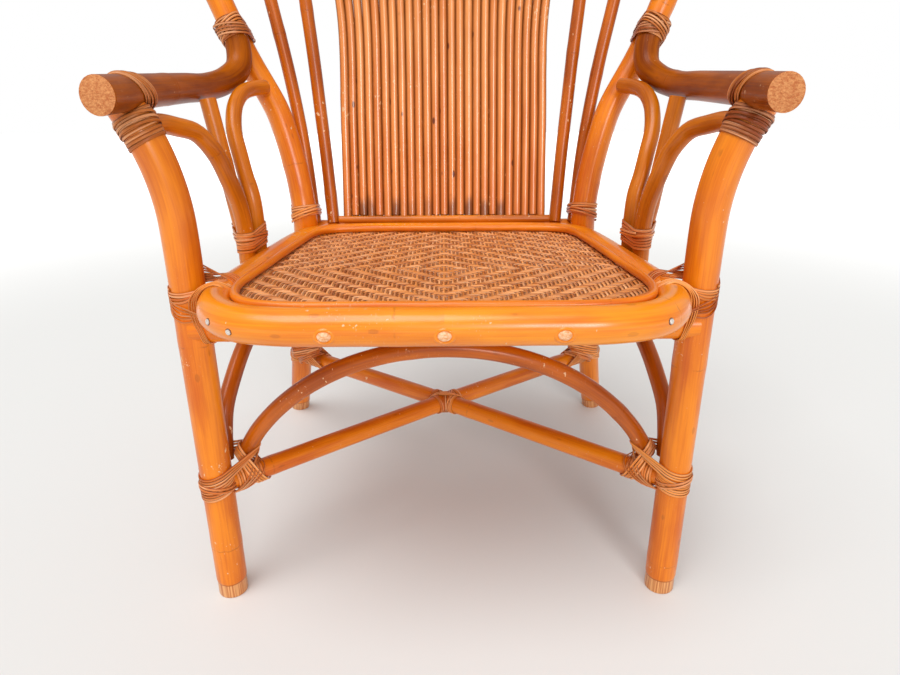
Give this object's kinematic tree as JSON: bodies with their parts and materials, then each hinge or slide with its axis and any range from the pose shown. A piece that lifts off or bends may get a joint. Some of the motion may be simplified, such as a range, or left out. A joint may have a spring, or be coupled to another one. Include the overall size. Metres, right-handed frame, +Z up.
{
  "type": "rattan fan-back armchair",
  "caption": "Armchair of bent rattan poles with a woven cane seat, a fan-shaped back of pencil reeds under a hoop, arms on curved braces and joints bound with cane.",
  "frame": {"origin": "on the floor under the middle of the chair's bounding box", "axes": "+Z up, the sitter faces -Y, +X to the right of a viewer who stands in front"},
  "size_m": [0.8208, 0.7046, 1.1596],
  "materials": {
    "pole": "lacquered rattan pole",
    "arm_pole": "lacquered rattan pole, darkened by hands",
    "reed": "lacquered pencil reed",
    "weave": "woven cane, worn satin",
    "strand": "bound cane strand",
    "plug": "lacquered wood plug"
  },
  "bodies": {
    "root": {"front_leg_left": "pole", "rear_leg_and_upright_left": "pole", "side_rail_left": "pole", "stretcher_front_left": "pole", "side_arch_left": "pole", "arm_brace_front_left": "pole", "arm_brace_middle_left": "pole", "arm_brace_rear_left": "pole", "inner_spoke_left": "pole", "outer_spoke_left": "pole", "arm_left": "arm_pole", "binding_seat_front_left": "strand", "binding_arm_post_left": "strand", "binding_arm_upright_left": "strand", "binding_lower_front_left": "strand", "binding_lower_rear_left": "strand", "binding_braces_left": "strand", "binding_seat_rear_left": "strand", "binding_hoop_joint_left": "strand", "front_leg_right": "pole", "rear_leg_and_upright_right": "pole", "side_rail_right": "pole", "stretcher_front_right": "pole", "side_arch_right": "pole", "arm_brace_front_right": "pole", "arm_brace_middle_right": "pole", "arm_brace_rear_right": "pole", "inner_spoke_right": "pole", "outer_spoke_right": "pole", "arm_right": "arm_pole", "binding_seat_front_right": "strand", "binding_arm_post_right": "strand", "binding_arm_upright_right": "strand", "binding_lower_front_right": "strand", "binding_lower_rear_right": "strand", "binding_braces_right": "strand", "binding_seat_rear_right": "strand", "binding_hoop_joint_right": "strand", "back_hoop": "pole", "seat_ring": "pole", "front_rail": "pole", "rear_rail": "pole", "front_arch": "pole", "rear_arch": "pole", "seat_bar_front": "pole", "seat_bar_rear": "pole", "panel_base_reed": "reed", "panel_batten_lower": "reed", "panel_batten_upper": "reed", "seat_edge_bead": "reed", "reed_strip_1": "reed", "reed_strip_2": "reed", "reed_strip_3": "reed", "reed_strip_4": "reed", "reed_strip_5": "reed", "seat_weave": "weave", "binding_stretcher_crossing": "strand", "ring_plug_left": "plug", "ring_plug_middle": "plug", "ring_plug_right": "plug"}
  },
  "joints": []
}
